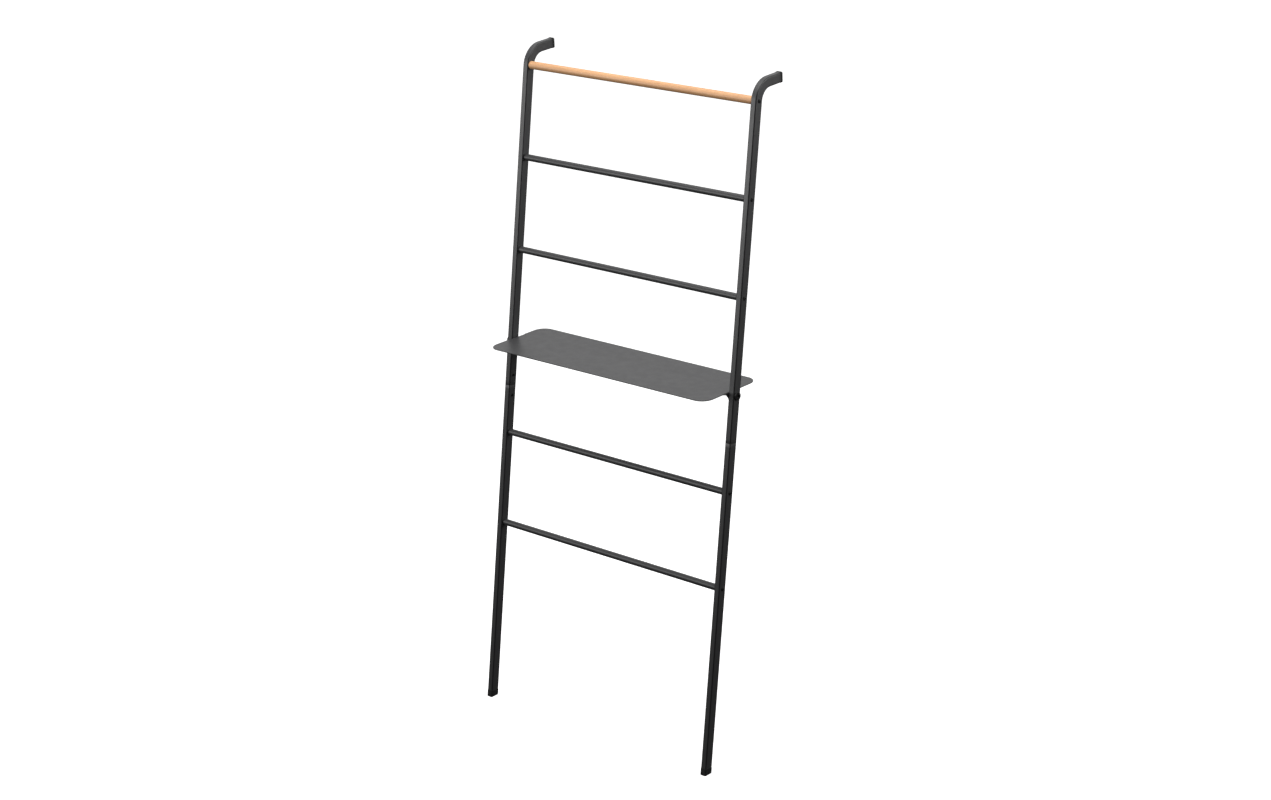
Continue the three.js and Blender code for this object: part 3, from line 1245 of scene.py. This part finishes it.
@dataclass
class FoldedShelf:
    """The shelf: one sheet-steel blank with an ear folded down at each end."""

    finish: Finish
    thickness: float = 2.0 * MM
    corner: float = 30.0 * MM
    fold_radius: float = 3.0 * MM
    ear_top: float = 58.0 * MM
    ear_tongue: float = 33.0 * MM
    ear_flange: float = 5.0 * MM
    ear_bottom: float = 24.0 * MM
    ear_drop: float = 21.0 * MM
    ear_corner: float = 7.0 * MM
    notch: float = 1.4 * MM
    notch_depth: float = 4.0 * MM
    edge: float = 0.55 * MM
    # The band along the edges where shade is painted.
    worn_border: float = 0.6 * MM
    level: float = 0.99
    corner_steps: int = 14
    ear_steps: int = 6
    fold_cuts: int = 7

    def curve(self, start: FlatPoint, pull: FlatPoint, end: FlatPoint) -> list[FlatPoint]:
        """A quadratic curve.

        Args:
            start: Where it starts, which is left out of the result.
            pull: The point that it bends towards.
            end: Where it ends.

        Returns:
            Its points.
        """
        points = []
        for step in range(1, self.ear_steps + 1):
            share = step / self.ear_steps
            spot = Vector(start) * (1 - share) ** 2
            spot += Vector(pull) * (2 * share * (1 - share))
            spot += Vector(end) * share**2
            points.append((spot.x, spot.y))
        return points

    def quarter(self, half_x: float, half_y: float) -> list[FlatPoint]:
        """Draws a quarter of the blank.

        Args:
            half_x: Half of the folded shelf's length.
            half_y: Half of its depth.

        Returns:
            The outline from the middle of the ear's tip to the middle of the back edge.
        """
        fold = half_x - self.fold_radius
        fold_end = fold + self.fold_radius * math.pi / 2
        reach = fold_end + (self.ear_drop - self.fold_radius)
        half_tip = self.ear_bottom / 2
        half_top = self.ear_top / 2
        half_tongue = self.ear_tongue / 2
        flange = fold_end + self.ear_flange - self.fold_radius
        tongue_end = flange + self.ear_flange
        points = [(reach, 0.0), (reach, half_tip - self.ear_corner)]
        tip_end = (reach - self.ear_corner, half_tip)
        points += self.curve(points[-1], (reach, half_tip), tip_end)
        points.append((tongue_end, half_tongue))
        points += self.curve(points[-1], (flange, half_tongue), (fold_end, half_top))
        points.append((half_x - self.notch_depth, half_top))
        points.append((half_x - self.notch_depth, half_top + self.notch))
        points.append((half_x, half_top + self.notch))
        corner_x = half_x - self.corner
        corner_y = half_y - self.corner
        for step in range(self.corner_steps + 1):
            angle = math.pi / 2 * step / self.corner_steps
            x = corner_x + self.corner * math.cos(angle)
            y = corner_y + self.corner * math.sin(angle)
            points.append((x, y))
        points.append((0.0, half_y))
        return points

    def outline(self, half_x: float, half_y: float) -> list[FlatPoint]:
        """Draws the whole blank by mirroring its quarter.

        Args:
            half_x: Half of the folded shelf's length.
            half_y: Half of its depth.

        Returns:
            The closed outline.
        """
        first = self.quarter(half_x, half_y)
        second = [(-x, y) for x, y in reversed(first)][1:]
        half = first + second
        return half + [(x, -y) for x, y in reversed(half)][1:-1]

    def folded(self, x: float, y: float, depth: float, half_x: float) -> Vector:
        """Where a point of the flat blank lands once the ears are folded.

        Args:
            x: Its place along the blank.
            y: Its place across the blank.
            depth: Its depth below the top face.
            half_x: Half of the folded shelf's length.

        Returns:
            The place, with the top face at z = 0.
        """
        fold = half_x - self.fold_radius
        past = abs(x) - fold
        if past <= 0 or abs(y) > self.ear_top / 2 + self.notch / 2:
            return Vector((x, y, -depth))
        angle = min(past / self.fold_radius, math.pi / 2)
        extra = max(past - self.fold_radius * math.pi / 2, 0.0)
        reach = self.fold_radius - depth
        out = fold + reach * math.sin(angle)
        return Vector((math.copysign(out, x), y, reach * math.cos(angle) - self.fold_radius - extra))

    def build(self) -> None:
        """Cuts the blank, softens its edge and folds its ears."""
        low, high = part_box("shelf")
        centre = (low + high) / 2
        half_x = (high.x - low.x) / 2
        half_y = (high.y - low.y) / 2
        maker = MeshMaker("shelf_plate")
        mesh = maker.mesh
        rim = [mesh.verts.new((x, y, 0.0)) for x, y in self.outline(half_x, half_y)]
        top = mesh.faces.new(rim)
        raised = bmesh.ops.extrude_face_region(mesh, geom=[top])
        lower = [item for item in raised["geom"] if isinstance(item, bmesh.types.BMVert)]
        bmesh.ops.translate(mesh, verts=lower, vec=(0.0, 0.0, -self.thickness))
        bmesh.ops.recalc_face_normals(mesh, faces=mesh.faces)
        flats = [face for face in mesh.faces if abs(face.normal.z) > self.level]
        edges = list({edge for face in flats for edge in face.edges})
        bmesh.ops.bevel(
            mesh,
            geom=edges,
            offset=self.edge,
            segments=3,
            profile=0.5,
            affect="EDGES",
            clamp_overlap=True,
        )
        # The bevelled edges get a high wear-and-shade value, which paints shade along them.
        for vertex in mesh.verts:
            vertex[maker.wear] = 0.8
        flats = [face for face in mesh.faces if abs(face.normal.z) > self.level]
        bmesh.ops.inset_individual(mesh, faces=flats, thickness=self.worn_border, use_even_offset=True)
        for face in mesh.faces:
            if abs(face.normal.z) > self.level and len(face.verts) > 8:
                for vertex in face.verts:
                    vertex[maker.wear] = 0.0
        fold = half_x - self.fold_radius
        last = fold + self.fold_radius * math.pi / 2
        for side in Side:
            for cut in range(self.fold_cuts + 1):
                x = side.value * (fold + (last - fold) * cut / self.fold_cuts)
                everything = [*mesh.verts, *mesh.edges, *mesh.faces]
                bmesh.ops.bisect_plane(mesh, geom=everything, plane_co=(x, 0, 0), plane_no=(1, 0, 0))
        for vertex in mesh.verts:
            spot = self.folded(vertex.co.x, vertex.co.y, -vertex.co.z, half_x)
            vertex.co = spot + Vector((centre.x, centre.y, high.z))
        dress(maker.piece(sharp_degrees=40.0), self.finish, "shelf")


@dataclass
class Hardware:
    """All the screws and nuts of the rack."""

    lines: Sequence[UprightLine]
    black: Finish
    zinc: Finish
    stand_off: float = 0.1 * MM
    step_head: HeadSize = HeadSize(radius=4.6 * MM, height=1.9 * MM, socket=1.7 * MM)
    joint_head: HeadSize = HeadSize(radius=3.3 * MM, height=1.6 * MM, socket=2.1 * MM)
    shelf_head: HeadSize = HeadSize(9.6 * MM, 3.2 * MM, 3.4 * MM, HeadShape.FLAT)

    def build(self) -> None:
        """Makes every screw and nut at the place of its node."""
        for line in self.lines:
            sign, word = line.side.value, line.side.word
            reach = sign * (line.stock.width / 2 + self.stand_off)
            outer = line.foot.x + reach
            inner = line.foot.x - reach
            for step in ("wood_rail", *RUNGS):
                names = (f"{step}_screw_{word}", f"{step}_bolt_{word}")
                SocketScrew(*names, self.black, sign, outer, self.step_head).build()
            names = (f"shelf_screw_{word}", f"shelf_bolt_{word}")
            SocketScrew(*names, self.black, sign, outer, self.shelf_head).build()
            HexNut(f"shelf_hex_nut_{word}", f"shelf_nut_{word}", self.zinc).build()
            for level in ("lower", "upper"):
                names = (f"{word}_joint_{level}_screw", f"{word}_joint_screw_{level}")
                SocketScrew(*names, self.black, -sign, inner, self.joint_head).build()


@dataclass
class HiddenSteel:
    """The plated pieces inside the tubes, which keep their frame meshes."""

    finish: Finish

    def build(self) -> None:
        """Gives each of them its finish."""
        hidden = [f"{side.word}_joint_spigot" for side in Side]
        for step in RUNGS:
            hidden += [f"{step}_plug_{side.word}" for side in Side]
        hidden += [f"wood_rail_insert_{side.word}" for side in Side]
        for name in hidden:
            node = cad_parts[name]
            node.data.materials.clear()
            node.data.materials.append(self.finish.material())
            LOG.info("%s: frame mesh kept, %s", name, self.finish.name)


# The studio


@dataclass(frozen=True)
class Softbox:
    """A large soft light."""

    name: str
    place: tuple[float, float, float]
    target: tuple[float, float, float]
    width: float
    height: float
    power: float
    spread: float = math.pi

    def build(self) -> None:
        """Hangs the light."""
        data = bpy.data.lights.new(self.name, "AREA")
        data.shape = "RECTANGLE"
        data.size = self.width
        data.size_y = self.height
        data.energy = self.power
        data.spread = self.spread
        lamp = bpy.data.objects.new(self.name, data)
        lamp.location = self.place
        aim = Vector(self.target) - Vector(self.place)
        lamp.rotation_euler = aim.to_track_quat("-Z", "Y").to_euler()
        bpy.context.scene.collection.objects.link(lamp)
        LOG.info("%s: %.0f W", self.name, self.power)


@dataclass
class Studio:
    """A pale floor, soft light all round, and the camera."""

    azimuth: float = math.radians(41.995)
    elevation: float = math.radians(18.685)
    roll: float = math.radians(-2.17)
    distance: float = 6.1772
    look_at: tuple[float, float, float] = (0.0339, 0.0, 0.9035)
    lens: float = 75.31
    sensor: float = 36.0
    rise: float = -0.0299
    floor_size: float = 60.0
    floor_drop: float = 0.2 * MM
    sky: Colour = (1.0, 1.0, 1.0)
    dim_sky: Colour = (0.17, 0.17, 0.17)
    ground: Colour = (0.05, 0.05, 0.05)
    dim_fade: tuple[float, float] = (-0.4, 1.0)
    ground_fade: tuple[float, float] = (-0.2, 0.35)
    sky_strength: float = 0.88
    lights: tuple[Softbox, ...] = (
        Softbox(
            "overhead_light",
            place=(0.1, -0.5, 3.4),
            target=(0.0, 0.0, 0.9),
            width=2.4,
            height=2.0,
            power=45.0,
        ),
        Softbox(
            "front_light",
            place=(-2.6, -3.4, 1.9),
            target=(0.0, 0.0, 1.6),
            width=2.2,
            height=1.9,
            power=13.0,
            spread=math.radians(80),
        ),
        Softbox(
            "side_light",
            place=(3.2, 2.0, 2.0),
            target=(0.0, 0.0, 1.6),
            width=2.0,
            height=1.8,
            power=12.0,
            spread=math.radians(80),
        ),
    )

    def build(self) -> None:
        """Sets up the studio."""
        self._floor()
        self._sky()
        for light in self.lights:
            light.build()
        self._camera()

    def _floor(self) -> None:
        """Lays the floor just under the feet."""
        maker = MeshMaker("studio_floor")
        half = self.floor_size / 2
        corners = [(-half, -half), (half, -half), (half, half), (-half, half)]
        ring = maker.ring([Vector((x, y, -self.floor_drop)) for x, y in corners], [0.0] * len(corners))
        maker.lid(ring)
        floor = maker.piece()
        floor.data.materials.append(StudioFloor().material())
        floor.visible_diffuse = False
        floor.visible_glossy = False

    def _sky(self) -> None:
        """Lights the room from above, dimly from below and from the camera's side."""
        world = bpy.data.worlds.new("studio_sky")
        world.use_nodes = True
        bpy.context.scene.world = world
        graph = Graph(world.node_tree)
        direction = graph.node("ShaderNodeTexCoord", output="Generated")
        height = graph.split(direction)[2]
        backdrop = (-math.sin(self.azimuth), math.cos(self.azimuth), 0.0)
        settings = {"operation": "DOT_PRODUCT"}
        behind = graph.node("ShaderNodeVectorMath", settings, {0: direction, 1: backdrop}, "Value")
        above_floor = graph.mix(behind.above(*self.dim_fade), self.dim_sky, self.sky)
        colour = graph.mix(height.above(*self.ground_fade), self.ground, above_floor)
        values = {"Color": colour, "Strength": self.sky_strength}
        sky = graph.node("ShaderNodeBackground", None, values)
        graph.node("ShaderNodeOutputWorld", None, {"Surface": sky})

    def _camera(self) -> None:
        """Stands the camera in front and to the right, looking a little down."""
        level = math.cos(self.elevation)
        back_x = math.sin(self.azimuth) * level
        back_y = -math.cos(self.azimuth) * level
        back = Vector((back_x, back_y, math.sin(self.elevation)))
        data = bpy.data.cameras.new("studio_camera")
        data.lens = self.lens
        data.sensor_width = self.sensor
        camera = bpy.data.objects.new("studio_camera", data)
        camera.location = Vector(self.look_at) + back * self.distance
        level_turn = (-back).to_track_quat("-Z", "Y")
        camera.rotation_euler = (level_turn @ Quaternion((0.0, 0.0, 1.0), self.roll)).to_euler()
        data.shift_y = self.rise
        bpy.context.scene.collection.objects.link(camera)
        bpy.context.scene.camera = camera


def main() -> None:
    """Builds the rack and its studio."""
    logging.basicConfig(level=logging.INFO, format="%(name)s %(message)s")
    powder = PowderCoat()
    rubber = MouldedRubber()
    black = BlackenedSteel()
    zinc = ZincPlate()
    Studio().build()
    stock = TubeStock()
    lines = [UprightLine(side, stock) for side in Side]
    for line in lines:
        UprightTube(line, stock, powder).build()
        CapPair(line, rubber).build()
    RoundBar("oak_rail", "wood_rail", OiledWood(), bore=4.5 * MM, edge=0.8 * MM).build()
    for rung in RUNGS:
        RoundBar(f"{rung}_tube", rung, powder, bore=6.8 * MM, edge=0.4 * MM).build()
    FoldedShelf(powder).build()
    Hardware(lines, black, zinc).build()
    HiddenSteel(zinc).build()
    bpy.context.scene.view_settings.view_transform = "Standard"


if __name__ == "__main__":
    main()
